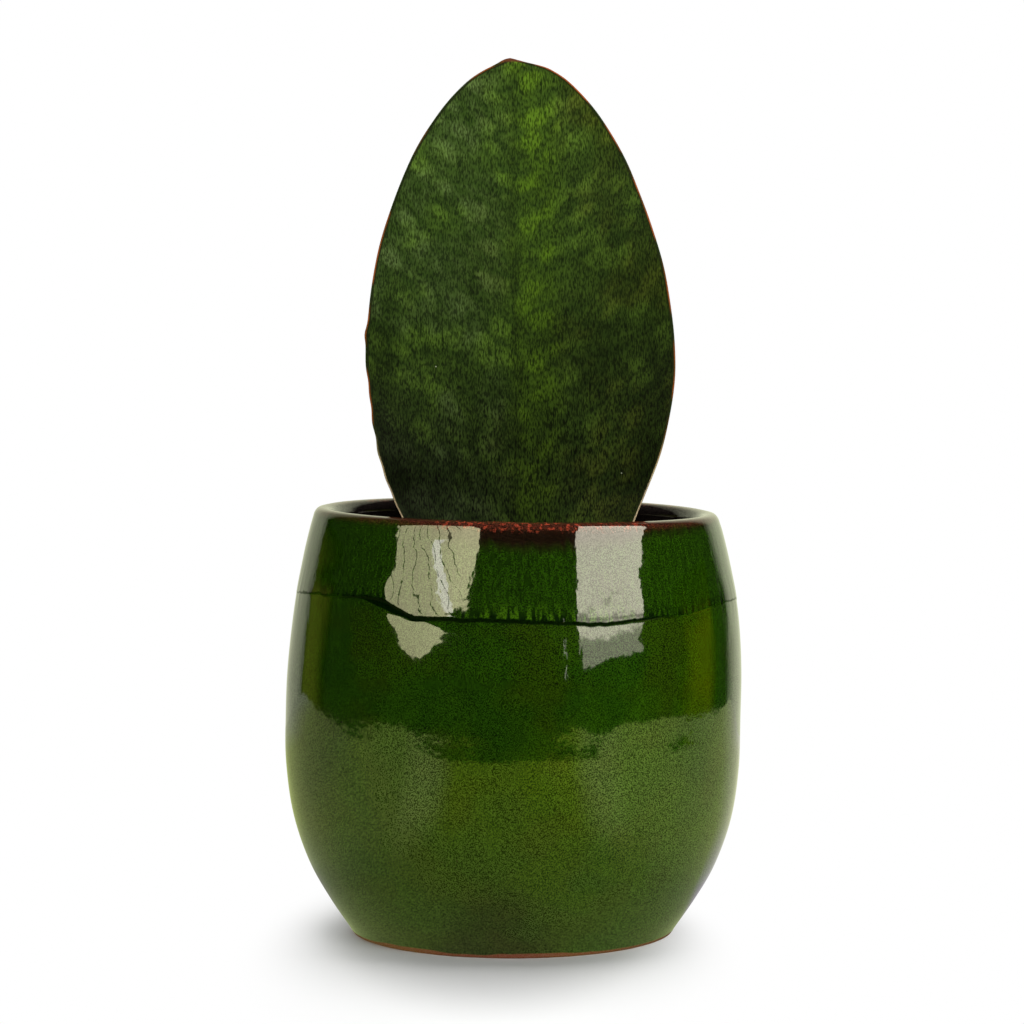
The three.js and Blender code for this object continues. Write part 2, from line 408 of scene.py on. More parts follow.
# For all rays but the camera's it glows as a board: ahead of the pot, then behind it, and brighter on
# the right
BOARD_MIDDLE = (0.70, 0.92, 0.08)
BOARD_COLUMNS = (1.17, 1.42, 0.40)
BOARD_SIDES = (0.80, 1.03, 0.24)
# Darker near the pot, ahead of it and behind: the pot's shadow painted on the board
BOARD_NEAR = (0.62, 0.84, 0.11)
BOARD_NEAREST = (0.46, 0.42, 0.10)
BOARD_BACK = (0.55, 0.63, 0.24)
BOARD_FAR = (0.57, 0.60, 0.42)
BOARD_NEAR_BACK = (0.37, 0.41, 0.28)
BOARD_NEAREST_BACK = (0.26, 0.25, 0.25)
BOARD_RIGHT_GLEAM = (0.12, 0.04, 0.26)
BOARD_RIGHT_GAIN = 1.42
# The plant's shadow: its middle, its stretch along Y, its shades as (distance, shade) from the middle
# out, and the distances between which the table turns white
SHADOW_MIDDLE = (-8, -52)
SHADOW_STRETCH = 2.3
SHADOW_DARK = (20, 0.6)
SHADOW_PALE = (60, 0.78)
WHITE_FROM = 44
WHITE_TO = 98


def smoothstep(value, low, high):
    share = np.clip((value - low) / (high - low), 0, 1)
    return share * share * (3 - 2 * share)


def lerp(start, end, share):
    return start + (end - start) * share


def value_along(rows, places):
    """Values that run smoothly through rows of (place, value), listed from the lowest place up."""
    stops, values = np.array(rows, float).T
    places = np.clip(places, stops[0], stops[-1])
    row = np.clip(np.searchsorted(stops, places, side="right") - 1, 0, len(rows) - 2)
    return lerp(values[row], values[row + 1], smoothstep(places, stops[row], stops[row + 1]))


def spline(points, count):
    """Points on the smooth curve through a few points, at even steps of its parameter."""
    points = np.array(points, float)
    padded = np.vstack([points[:1], points, points[-1:]])
    place = np.linspace(0, len(points) - 1, count)
    start = np.minimum(place.astype(int), len(points) - 2)
    before, here, there, after = (padded[start + step] for step in range(4))
    share = (place - start)[:, None]
    slope_here = (there - before) / 2
    slope_there = (after - here) / 2
    cubic = 2 * (here - there) + slope_here + slope_there
    square = 3 * (there - here) - 2 * slope_here - slope_there
    return ((cubic * share + square) * share + slope_here) * share + here


def swells(points, length, seed):
    """A smooth random relief of about -1 to 1, whose swells are about as long as length."""
    waves = 14
    random = np.random.default_rng(seed)
    ways = random.normal(size=(waves, 3))
    ways /= np.linalg.norm(ways, axis=1)[:, None]
    lengths = length * random.uniform(0.7, 1.6, waves)
    phases = random.uniform(0, 2 * math.pi, waves)
    total = sum(
        np.sin(2 * math.pi * (points @ way) / wave + phase)
        for way, wave, phase in zip(ways, lengths, phases)
    )
    return total / math.sqrt(2 * waves)


def layered_swells(points, layers):
    """Swells laid over each other, in layers of (height, length, seed)."""
    return sum(height * swells(points, length, seed) for height, length, seed in layers)


def closed_skin(rings, first_pole, last_pole):
    """Points and faces of rings that are joined into one closed skin, with a pole at each end."""
    rows, columns = rings.shape[:2]
    index = np.arange(rows * columns).reshape(rows, columns)
    beside = np.roll(index, -1, axis=1)
    quads = np.stack([index[:-1], beside[:-1], beside[1:], index[1:]], axis=-1).reshape(-1, 4)
    first = rows * columns
    last = first + 1
    faces = quads.tolist()
    faces += [(first, beside[0, i], index[0, i]) for i in range(columns)]
    faces += [(last, index[-1, i], beside[-1, i]) for i in range(columns)]
    return np.vstack([rings.reshape(-1, 3), [first_pole, last_pole]]), faces


def make_object(name, points, faces, material):
    mesh = bpy.data.meshes.new(name)
    mesh.from_pydata((np.asarray(points, float) * MM).tolist(), [], faces)
    mesh.materials.append(material)
    made = bpy.data.objects.new(name, mesh)
    bpy.context.scene.collection.objects.link(made)
    return made


def add_field(mesh, name, values):
    """A value at each point of a mesh, which the mesh's material reads by this name."""
    attribute = mesh.attributes.new(name, "FLOAT", "POINT")
    attribute.data.foreach_set("value", np.ascontiguousarray(values, np.float32))


def make_piece(name, points, faces, material, fields):
    """A smooth piece of the plant, with a value at each point for every field that its material reads."""
    piece = make_object(name, points, faces, material)
    piece.data.shade_smooth()
    for field, values in fields.items():
        add_field(piece.data, field, values)
    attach(piece, "root")
    return piece


class Paint:
    """The nodes of one material. Each call adds a node and gives back the socket with its result."""

    def __init__(self, name):
        self.material = bpy.data.materials.new(name)
        self.material.use_nodes = True
        self.tree = self.material.node_tree
        self.tree.nodes.clear()
        self.output = self.tree.nodes.new("ShaderNodeOutputMaterial")

    def node(self, kind, inputs, **settings):
        made = self.tree.nodes.new("ShaderNode" + kind)
        for setting, value in settings.items():
            setattr(made, setting, value)
        for socket, value in inputs.items():
            if isinstance(value, bpy.types.NodeSocket):
                self.tree.links.new(value, made.inputs[socket])
            else:
                made.inputs[socket].default_value = value
        return made

    def field(self, name):
        return self.node("Attribute", {}, attribute_name=name).outputs["Fac"]

    def math(self, operation, *values):
        return self.node("Math", dict(enumerate(values)), operation=operation).outputs[0]

    def times(self, first, *others):
        for other in others:
            first = self.math("MULTIPLY", first, other)
        return first

    def ease(self, value, low, high, start=0.0, end=1.0):
        """Runs smoothly from start to end while the value runs from low to high."""
        inputs = {"Value": value, "From Min": low, "From Max": high, "To Min": start, "To Max": end}
        if low > high:
            inputs |= {"From Min": high, "From Max": low, "To Min": end, "To Max": start}
        return self.node("MapRange", inputs, interpolation_type="SMOOTHSTEP").outputs[0]

    def places(self, size, seed=0.0, points=None):
        """The object's own millimetres, or other points, divided by a size along each axis."""
        unit = 1
        if points is None:
            points = self.node("TexCoord", {}).outputs["Object"]
            unit = 1 / MM
        scale = [unit / length for length in size]
        inputs = {0: points, 1: scale, 2: (seed, 1.7 * seed, -seed)}
        return self.node("VectorMath", inputs, operation="MULTIPLY_ADD").outputs[0]

    def spot(self):
        """The object's own x, y and z in millimetres."""
        return self.node("SeparateXYZ", {0: self.places((1, 1, 1))}).outputs

    def texture(self, kind, size, seed, points, inputs, **settings):
        inputs = {"Vector": self.places(size, seed, points), "Scale": 1.0, **inputs}
        return self.node("Tex" + kind, inputs, **settings).outputs

    def noise(self, size, seed, points=None, detail=2.0):
        return self.texture("Noise", size, seed, points, {"Detail": detail})["Fac"]

    def cells(self, size, seed):
        """The distance to the nearest of many points strewn at random, about one in each size."""
        return self.texture("Voronoi", size, seed, None, {})["Distance"]

    def blobs(self, size, seed, points, smooth):
        """As cells, with the borders between the cells rounded off."""
        inputs = {"Smoothness": smooth}
        return self.texture("Voronoi", size, seed, points, inputs, feature="SMOOTH_F1")["Distance"]

    def stirred(self, points, size, reach, seed):
        """Points pushed aside at random by up to about half of reach."""
        push = self.texture("Noise", (size,) * 3, seed, points, {"Detail": 2.0})["Color"]
        inputs = {0: push, 1: (reach,) * 3, 2: points}
        return self.node("VectorMath", inputs, operation="MULTIPLY_ADD").outputs[0]

    def mix(self, share, first, second):
        first, second = ((*value, 1) if isinstance(value, tuple) else value for value in (first, second))
        inputs = {0: share, 6: first, 7: second}
        return self.node("Mix", inputs, data_type="RGBA").outputs[2]

    def scaled(self, colour, factor):
        return self.node("VectorMath", {0: colour, "Scale": factor}, operation="SCALE").outputs[0]

    def relief(self, height, depth, under=None):
        """The surface's normal with a relief whose height runs from 0 to 1 over this depth."""
        inputs = {"Height": height, "Distance": depth * MM, "Strength": 1.0}
        if under is not None:
            inputs["Normal"] = under
        return self.node("Bump", inputs).outputs[0]

    def finish(self, shader):
        self.tree.links.new(shader, self.output.inputs["Surface"])
        return self.material

    def surface(self, inputs):
        return self.finish(self.node("BsdfPrincipled", inputs).outputs[0])


# Glaze
BODY_GREEN = (0.0082, 0.0275, 0.0008)
BODY_OLIVE = (0.0125, 0.0270, 0.0006)
BODY_BRIGHT = (0.0135, 0.0390, 0.0010)
BAND_DARK = (0.0060, 0.0190, 0.0004)
BAND_GREEN = (0.0110, 0.0340, 0.0007)
BAND_BRIGHT = (0.0290, 0.0720, 0.0020)
# Partly the pooled glaze's own dark colour, partly painted shade under the coat's edge
EDGE_LINE_AND_SHADE = (0.0010, 0.0045, 0.0006)
RUST_DARK = (0.0090, 0.0042, 0.0022)
RUST = (0.042, 0.011, 0.006)
RUST_RED = (0.22, 0.032, 0.016)
INSIDE_BROWN = (0.010, 0.007, 0.006)
BARE_CLAY = (0.21, 0.058, 0.042)


def body_colour(paint, clouds):
    """Two greens in clouds, brighter in drifts."""
    drifts = paint.ease(paint.noise((13, 13, 15), seed=8), 0.42, 0.66)
    colour = paint.mix(clouds, BODY_GREEN, BODY_OLIVE)
    return paint.mix(paint.times(drifts, 0.5), colour, BODY_BRIGHT)


def band_colour(paint, rise, lobes):
    """The upper coat, which runs down in fine streaks and pools into brighter lobes along its edge."""
    streaks = paint.ease(paint.noise((1.1, 1.1, 20), seed=5, detail=3), 0.3, 0.7)
    colour = paint.mix(streaks, BAND_DARK, BAND_GREEN)
    pooled = paint.times(paint.ease(lobes, 0.42, 0.64), paint.ease(rise, 9, 1.2), paint.field("pooled"))
    colour = paint.mix(pooled, colour, BAND_BRIGHT)
    # Between the lobes the dark line reaches up: partly pooled glaze, partly painted shade
    between = paint.times(paint.ease(lobes, 0.56, 0.42), paint.ease(rise, 5.5, 0.6), 0.88)
    return paint.mix(between, colour, EDGE_LINE_AND_SHADE)


def with_rust(paint, colour, from_lip):
    """The glaze burnt to rust below the lip, in drips and with redder spots, and brown inside."""
    reach = paint.field("rust")
    spots = paint.ease(paint.noise((1.7, 1.7, 1.7), seed=21, detail=3), 0.5, 0.64)
    spots = paint.times(spots, paint.ease(from_lip, 6.8, 4.6), paint.ease(reach, 6.5, 10))
    rust = paint.mix(paint.ease(from_lip, 6.2, 4.0), RUST_DARK, RUST)
    rust = paint.mix(spots, rust, RUST_RED)
    drip = paint.math("MULTIPLY_ADD", paint.noise((2.6, 2.6, 9), seed=17), 6, -3)
    past_rust = paint.math("SUBTRACT", paint.math("ADD", from_lip, drip), reach)
    colour = paint.mix(paint.ease(past_rust, 3, -4), colour, rust)
    return paint.mix(paint.ease(from_lip, 0.5, -4), colour, INSIDE_BROWN)


def crack_share(paint, rise, coat, height):
    """Thin cracks that wander down through the glaze where the upper coat is thickest."""
    around = paint.field("around")
    off_level = paint.math("SUBTRACT", height, CRACK_LEVEL)
    lean = paint.times(paint.ease(around, -190, -162, 0, 0.5), off_level)
    wander = paint.noise((8, 8, 13), seed=43, detail=4)
    path = paint.math("MULTIPLY_ADD", wander, CRACK_WANDER, paint.math("ADD", around, lean))
    crack = paint.ease(paint.math("PINGPONG", path, CRACK_GAP / 2), 0.36, 0.1)
    broken = paint.ease(paint.noise((2, 2, 3.4), seed=44), 0.34, 0.46)
    thick = paint.times(paint.ease(coat, 0.5, 0.62), paint.ease(rise, 0.5, 2))
    return paint.times(crack, broken, thick)


def glaze_relief(paint, height):
    """Broad ripples, calmer on the lower body, under a fine orange peel."""
    calm = paint.ease(height, SHOULDER, 104, 1.0, 0.15)
    ripple = paint.relief(paint.times(paint.noise((5, 5, 9), seed=31), calm), 0.075)
    return paint.relief(paint.noise((2.2, 2.2, 3.2), seed=37, detail=1), 0.012, ripple)


def glaze_material():
    paint = Paint("green glaze")
    rise, coat, from_lip, height = (paint.field(name) for name in ("rise", "coat", "from_lip", "height"))
    clouds = paint.ease(paint.noise((26, 26, 20), seed=3, detail=3), 0.38, 0.62)
    lobes = paint.noise((1.7, 1.7, 12), seed=11, detail=1)
    ragged_rise = paint.math("MULTIPLY_ADD", lobes, -1.6, paint.math("ADD", rise, 0.8))
    on_band = paint.ease(ragged_rise, -0.5, 0.7)
    colour = paint.mix(on_band, body_colour(paint, clouds), band_colour(paint, rise, lobes))

    # A dark line lies under the edge, wider where the coat is thick and faded where it is thin
    # Its darkness is partly the pooled glaze's own colour and partly painted shade under the coat's
    # overhanging edge
    over_line = paint.ease(paint.math("ADD", rise, paint.field("line_width")), -0.35, 0.35)
    step = paint.times(over_line, paint.ease(ragged_rise, 1.0, 0.2))
    line = paint.times(step, paint.ease(coat, 0.14, 0.36))
    colour = paint.mix(line, colour, EDGE_LINE_AND_SHADE)
    # Painted light: the glaze's 'tone' field brightens its right side
    colour = paint.scaled(colour, paint.field("tone"))
    colour = with_rust(paint, colour, from_lip)

    # The glaze is full of pores, with a pinhole here and there, and ends above the bare foot
    pores = paint.noise((0.48, 0.48, 0.48), seed=2, detail=1)
    colour = paint.scaled(colour, paint.ease(pores, 0.34, 0.66, 0.38, 1.62))
    pinhole = paint.ease(paint.cells((16, 16, 16), seed=5), 0.038, 0.02)
    colour = paint.scaled(colour, paint.ease(pinhole, 0, 1, 1.0, 0.05))
    foot = paint.ease(paint.math("MULTIPLY_ADD", clouds, -0.8, height), 1.5, 0.9)
    colour = paint.mix(foot, colour, BARE_CLAY)

    crack = crack_share(paint, rise, coat, height)
    pitted = paint.ease(height, SHOULDER, 100, 0.2, 0.85)
    gloss = paint.times(
        paint.ease(step, 0, 1, 0.5, 0.02),
        paint.ease(crack, 0, 1, 1, 0.12),
        paint.math("MULTIPLY_ADD", paint.ease(pores, 0.36, 0.64, -0.8, 0.8), pitted, 1),
        paint.ease(from_lip, -9, -4, 0.12, 1),
    )
    return paint.surface(
        {
            "Base Color": colour,
            "Roughness": paint.ease(foot, 0, 1, 0.045, 0.85),
            "Normal": glaze_relief(paint, height),
            "IOR": 1.52,
            "Specular IOR Level": gloss,
        }
    )


# Leaf
LEAF_DARK = (0.0122, 0.0245, 0.0034)
LEAF_GREEN = (0.044, 0.078, 0.0095)
# The blotches' pale tint with a painted sheen, used on the leaf's left
LEAF_SHEEN_BLUE = (0.044, 0.068, 0.0195)
LEAF_OLIVE = (0.043, 0.058, 0.0070)
LEAF_CENTRE = (0.041, 0.077, 0.0042)
MARGIN_RED = (0.30, 0.075, 0.014)
MARGIN_CREAM = (0.62, 0.48, 0.28)
# A dark line of painted shade inside the margin
MARGIN_SHADE = (0.010, 0.014, 0.004)
TIP_BROWN = (0.11, 0.035, 0.015)
SPECK_PALE = (0.5, 0.55, 0.4)
# The blotches' chevrons: how steep they are, and how round in the middle
CHEVRON_SLOPE = 0.55
CHEVRON_ROUND = 60
# The middle of the greener stripe
STRIPE_X = 6


def blotch_share(paint, across, height):
    """Blotches along shallow chevrons, which rise from the middle to both margins."""
    away = paint.math("SQRT", paint.math("MULTIPLY_ADD", across, across, CHEVRON_ROUND))
    chevron = paint.math("MULTIPLY_ADD", away, -CHEVRON_SLOPE, height)
    spread = paint.node("CombineXYZ", {0: across, 2: chevron}).outputs[0]
    feathered = paint.stirred(spread, 5, 4.5, seed=9)
    rounds = paint.ease(paint.blobs((9.5, 9.5, 8.5), seed=4, points=feathered, smooth=0.28), 0.59, 0.27)
    small = paint.ease(paint.noise((5.5, 5.5, 4.6), seed=9, points=spread), 0.36, 0.64)
    broad = paint.ease(paint.noise((32, 32, 26), seed=5), 0.4, 0.6)
    blotches = paint.math("MULTIPLY_ADD", rounds, 0.6, paint.times(small, 0.26))
    return paint.math("MULTIPLY_ADD", broad, 0.18, blotches)


def light_colour(paint, drift, stripe):
    """The pale tint of the blotches: bluer on the left with a painted sheen, olive on the right, green
    between.
    """
    light = paint.mix(paint.ease(drift, 5, 65), LEAF_SHEEN_BLUE, LEAF_OLIVE)
    tones = paint.ease(paint.noise((22, 22, 26), seed=15), 0.4, 0.62)
    light = paint.mix(tones, light, LEAF_GREEN)
    return paint.mix(paint.times(stripe, 0.9), light, LEAF_CENTRE)


def leaf_shades(paint, across, height, margin, drift, fibres):
    """The factors that darken or brighten the leaf: seam, grain, height (partly painted light), painted side
    shade, margins.
    """
    wander = paint.math("MULTIPLY_ADD", paint.noise((9, 9, 13), seed=27, detail=3), 9, -3)
    off_seam = paint.math("ABSOLUTE", paint.math("ADD", across, wander))
    threads = paint.ease(paint.noise((0.8, 0.8, 16), seed=7), 0.32, 0.68, 0.84, 1.16)
    flecks = paint.times(paint.ease(fibres, 0.35, 0.65, -0.6, 0.6), paint.ease(height, 165, 260, 1.35, 1))
    # Painted shade by side: darker on the right above, and on the left below
    painted_shade_above = paint.ease(drift, 30, 75, 1, 0.6)
    painted_shade_below = paint.ease(drift, 0, 75, 0.62, 1.2)
    dim = paint.times(paint.ease(margin, 30, 0, 0, 0.56), paint.ease(height, 290, 190))
    return (
        paint.ease(off_seam, 0, 2.6, 0.7, 1.0),
        paint.math("ADD", flecks, threads),
        # Brighter towards the top: partly painted light from above, partly the leaf's own colour
        paint.ease(height, 160, 335, 0.66, 1.75),
        paint.ease(height, 230, 170, painted_shade_above, painted_shade_below),
        paint.ease(dim, 0, 1, 1, 0),
    )


def with_margin(paint, colour, height, margin):
    """A red margin, cream low down, with a dark line of painted shade inside it, and the brown tip."""
    tint = paint.ease(paint.noise((20, 20, 20), seed=23), 0.42, 0.58)
    rim = paint.mix(tint, MARGIN_RED, LEAF_DARK)
    rim = paint.mix(paint.ease(height, 200, 178), rim, MARGIN_CREAM)
    # Painted shade: a dark line just inside the margin
    colour = paint.mix(paint.ease(margin, 1.5, 0.8), colour, MARGIN_SHADE)
    colour = paint.mix(paint.ease(margin, 0.75, 0.35), colour, rim)
    return paint.mix(paint.ease(height, LEAF_TOP - 2, LEAF_TOP - 0.8), colour, TIP_BROWN)


def leaf_material():
    paint = Paint("mottled leaf")
    across, height, margin = (paint.field(name) for name in ("across", "height", "margin"))
    drift = paint.math("MULTIPLY_ADD", paint.noise((26, 26, 30), seed=14), 70, across)
    off_stripe = paint.math("ABSOLUTE", paint.math("SUBTRACT", across, STRIPE_X))
    stripe = paint.ease(off_stripe, 16, 4)
    fibres = paint.noise((0.45, 0.45, 1.8), seed=6, detail=1)
    blotches = paint.math("MULTIPLY_ADD", stripe, 0.14, blotch_share(paint, across, height))
    colour = paint.mix(blotches, LEAF_DARK, light_colour(paint, drift, stripe))
    for factor in leaf_shades(paint, across, height, margin, drift, fibres):
        colour = paint.scaled(colour, factor)
    speck = paint.ease(paint.cells((23, 23, 23), seed=3), 0.016, 0.01)
    colour = paint.mix(paint.times(speck, 0.7), colour, SPECK_PALE)

    skin = paint.relief(paint.noise((4, 4, 60), seed=12), 0.10)
    skin = paint.relief(blotches, 0.03, skin)
    skin = paint.relief(fibres, 0.02, skin)
    return paint.surface(
        {
            "Base Color": with_margin(paint, colour, height, margin),
            "Roughness": 0.55,
            "Normal": skin,
            "IOR": 1.45,
            "Specular IOR Level": 0.03,
        }
    )


# Potting mix
SOIL_DARK = (0.010, 0.006, 0.004)
SOIL_BROWN = (0.045, 0.026, 0.015)
BARK_BROWN = (0.10, 0.050, 0.024)
PERLITE_WHITE = (0.70, 0.69, 0.64)
PERLITE_DUST = (0.3, 0.24, 0.17)


def soil_material():
    paint = Paint("potting mix")
    lumps = paint.ease(paint.noise((3.2, 3.2, 3.2), seed=2, detail=4), 0.35, 0.68)
    colour = paint.mix(lumps, SOIL_DARK, SOIL_BROWN)
    colour = paint.scaled(colour, paint.ease(paint.field("tone"), 0, 1, 0.55, 1.5))
    rough = paint.relief(paint.noise((0.7, 0.7, 0.7), seed=5, detail=3), 0.5)
    return paint.surface({"Base Color": colour, "Roughness": 0.95, "Normal": rough})


def bark_material():
    paint = Paint("bark chips")
    layers = paint.noise((5, 5, 0.8), seed=3, detail=3)
    colour = paint.mix(paint.ease(layers, 0.35, 0.65), SOIL_BROWN, BARK_BROWN)
    colour = paint.scaled(colour, paint.ease(paint.field("tone"), 0, 1, 0.5, 1.3))
    return paint.surface({"Base Color": colour, "Roughness": 0.85, "Normal": paint.relief(layers, 0.3)})


def perlite_material():
    paint = Paint("perlite")
    pits = paint.noise((0.6, 0.6, 0.6), seed=9, detail=3)
    dust = paint.ease(paint.noise((2, 2, 2), seed=4), 0.4, 0.7)
    colour = paint.mix(paint.times(dust, 0.45), PERLITE_WHITE, PERLITE_DUST)
    return paint.surface({"Base Color": colour, "Roughness": 0.9, "Normal": paint.relief(pits, 0.4)})


def hand_thrown(points):
    """The pot's rim dips a little at +X, and its upper body stands a little to +X of its foot."""
    made = points.copy()
    made[..., 2] -= made[..., 0] * RIM_TILT * made[..., 2] / POT_HEIGHT
    made[..., 0] += BODY_SHIFT * smoothstep(made[..., 2], SHIFT_FROM_Z, SHIFT_TO_Z)
    return made


def pot_profile():
    """The pot's section from under its foot to its inside floor, and which of its rows are outside."""
    ring_inside = FOOT_RADIUS - FOOT_RING_WIDTH
    foot = [
        (15, FOOT_RECESS),
        (35, FOOT_RECESS),
        (ring_inside - FOOT_RECESS - 1, FOOT_RECESS),
        (ring_inside - FOOT_RECESS, FOOT_RECESS - 0.2),
        (ring_inside - FOOT_ROUND, 0.2),
        (ring_inside, 0),
        (FOOT_RADIUS - FOOT_ROUND, 0),
        (FOOT_RADIUS, 0.15),
        (FOOT_RADIUS + 0.6, 0.9),
    ]
    curve = spline(POT_SECTION, SECTION_STEPS)
    top = np.argmax(curve[:, 1])
    outside, inside = curve[:top], curve[top:]
    rows = [foot]
    start = outside[0, 1]
    for height, step in OUTSIDE_ROWS:
        levels = np.arange(start, height - step / 2, step)
        rows.append(np.column_stack([np.interp(levels, outside[:, 1], outside[:, 0]), levels]))
        start = height
    glazed = sum(map(len, rows))
    for height, step in INSIDE_ROWS:
        levels = np.arange(start, height + step / 2, -step)
        rows.append(np.column_stack([np.interp(-levels, -inside[:, 1], inside[:, 0]), levels]))
        start = height
    rows.append(inside[-1:])
    profile = np.vstack(rows)
    on_outside = (np.arange(len(profile)) >= len(foot)) & (np.arange(len(profile)) < glazed)
    return profile, on_outside


def coat_out(level, angle):
    """How far the upper coat stands out, at each level above its edge and each angle."""
    coat = value_along(COAT_STEP, level) * value_along(COAT_THICKNESS, angle)
    sag = value_along(SAG_REACH, angle)
    return coat + SAG_SLOPE * np.clip(level + sag, 0, sag)


def make_pot():
    profile, on_outside = pot_profile()
    on_outside = on_outside[:, None]
    angle = np.linspace(-180, 180, POT_SIDES, endpoint=False)
    turn = np.radians(angle)
    around = np.stack([np.cos(turn), np.sin(turn), np.zeros(POT_SIDES)], axis=-1)
    radius, height = (np.repeat(column[:, None], POT_SIDES, axis=1) for column in profile.T)
    level = height - GLAZE_LEVEL
    coat = coat_out(level, angle) * on_outside
    coat = coat * (1 - smoothstep(height, COAT_THINS_FROM, COAT_ENDS_AT))
    edge = value_along(GLAZE_EDGE, angle) + layered_swells(GLAZE_RADIUS * around, EDGE_SWELLS)
    follows = np.where(on_outside, 1 - smoothstep(np.abs(level), 0, GLAZE_REACH), 0)
    height = height + follows * (edge - GLAZE_LEVEL)

    plain = radius[..., None] * around + height[..., None] * (0, 0, 1)
    uneven = smoothstep(height, EVEN_TO, UNEVEN_FROM) * on_outside * layered_swells(plain, WALL_SWELLS)
    points = hand_thrown(plain + (coat + uneven)[..., None] * around)
    skin, faces = closed_skin(points, (0, 0, FOOT_RECESS), (0, 0, FLOOR_THICKNESS - 1))

    # What the material reads, each with its values at the two poles
    steps = np.hypot(*np.diff(profile, axis=0).T)
    along = np.concatenate([[0], np.cumsum(steps)])[:, None]
    from_lip = along[np.argmax(profile[:, 1])] - along
    shown = {
        "height": (np.where(from_lip > 0, height, INSIDE_HEIGHT), (0, INSIDE_HEIGHT)),
        "from_lip": (from_lip, (from_lip[0, 0], from_lip[-1, 0])),
        "rise": (height - edge, (POLE_RISE, POLE_RISE)),
        "around": (GLAZE_RADIUS * turn, (0, 0)),
    }
    for field, table, pole in ROUND_FIELDS:
        shown[field] = (value_along(table, angle), (pole, pole))
    fields = {
        field: np.append(np.broadcast_to(values, height.shape), poles)
        for field, (values, poles) in shown.items()
    }
    pot = make_piece("glazed_pot", skin, faces, glaze_material(), fields)
    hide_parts("pot")


def leaf_middle(z):
    return np.stack([value_along(MIDDLE_X, z), value_along(ARCH_Y, z), z], axis=-1)


def leaf_rings():
    """Rings of the leaf's skin from the bottom up, and each point's distances from middle and margin."""
    outline = spline(LEAF_OUTLINE, LEAF_ROWS)[::-1]
    half_width, z = outline[:, :1], outline[:, 1:]
    even = np.linspace(-1, 1, LEAF_COLUMNS + 1)
    across = lerp(even, np.sin(even * math.pi / 2), COLUMN_CROWDING)
    turn = np.linspace(-math.pi / 2, math.pi / 2, MARGIN_STEPS + 2)[1:-1]
    bead = np.minimum(MARGIN_BEAD, half_width / 4)
    inner = half_width - bead

    # A ring runs over the front, round the right margin, over the back and round the left margin
    face = np.ones(LEAF_COLUMNS + 1)
    edge = np.ones(MARGIN_STEPS)
    sides = np.concatenate([across, edge, across[::-1], -edge])
    facing = np.concatenate([-face, np.sin(turn), face, -np.sin(turn)])
    outward = np.concatenate([0 * face, np.cos(turn), 0 * face, -np.cos(turn)])
    x = inner * sides + bead * outward
    fullness = 1 - np.abs(sides) ** BLUNTNESS
    thickness = lerp(MARGIN_THICKNESS, value_along(CENTRE_THICKNESS, z), fullness)
    thickness = thickness * smoothstep(LEAF_TOP + 0.4 - z, 0, 3)
    share = smoothstep(z, SOIL_TOP + WAVES_FROM, SOIL_TOP + WAVES_FULL_AT) * sides**4
    phase = np.where(sides > 0, *MARGIN_PHASES)
    wave = share * MARGIN_WAVE * np.sin(2 * math.pi * z / MARGIN_WAVE_LENGTH + phase)
    y = facing * thickness / 2 - value_along(HOLLOW, z) * x * x + wave
    rings = np.stack([x, y, np.zeros_like(x)], axis=-1) + leaf_middle(z[:, 0])[:, None]
    slope = np.gradient(half_width[:, 0], z[:, 0])[:, None]
    margin = (half_width - np.abs(x)) / np.hypot(1, slope)
    return rings, x, margin


def make_leaf():
    rings, across, margin = leaf_rings()
    at_margin = smoothstep(margin, MARGIN_REACH, 0)
    ribs = sum(high * swells(rings * (1, 1, squeeze), wide, seed) for high, wide, squeeze, seed in RIBS)
    rings[..., 1] += ribs * smoothstep(margin, 0.5, 6)
    rings[..., 0] += MARGIN_WAVER * swells(rings, MARGIN_WAVER_LENGTH, seed=8) * at_margin
    z = rings[..., 2]
    nicks = NICK_DEPTH * swells(z[..., None] * (0, 0, 1), NICK_LENGTH, seed=9)
    nicks = nicks * smoothstep(z, KINK_HEIGHT, KINK_HEIGHT - NICKS_FADE)
    kink = KINK_WIDTH * np.exp(-(((z - KINK_HEIGHT) / KINK_REACH) ** 2))
    rings[..., 0] -= (kink + nicks) * at_margin * (across < 0)
    low, high = leaf_middle(np.array([LEAF_BOTTOM, LEAF_TOP]))
    skin, faces = closed_skin(rings, low, high)
    fields = {
        "across": np.append(across, (0, 0)),
        "height": skin[:, 2],
        "margin": np.append(margin, (9, 0)),
    }
    leaf = make_piece("leaf_blade", skin, faces, leaf_material(), fields)
    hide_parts("leaf")


def leaf_line(x):
    """The y of the leaf's middle where it stands in the soil."""
    return LEAF_Y - LEAF_HOLLOW * (x - LEAF_X) ** 2


def soil_height(x, y, share):
    """The height of the bed, a share of the way out to its rim."""
    points = np.stack([x, y, np.zeros_like(x)], axis=-1)
    rise = SOIL_RISE * np.exp(-((x / RISE_REACH[0]) ** 2 + (y / RISE_REACH[1]) ** 2))
    return SOIL_TOP + layered_swells(points, SOIL_SWELLS) + rise - SOIL_DIP * smoothstep(share, DIP_FROM, 1)


def level_ring(flat, z):
    return np.column_stack([flat, np.full(len(flat), z)])


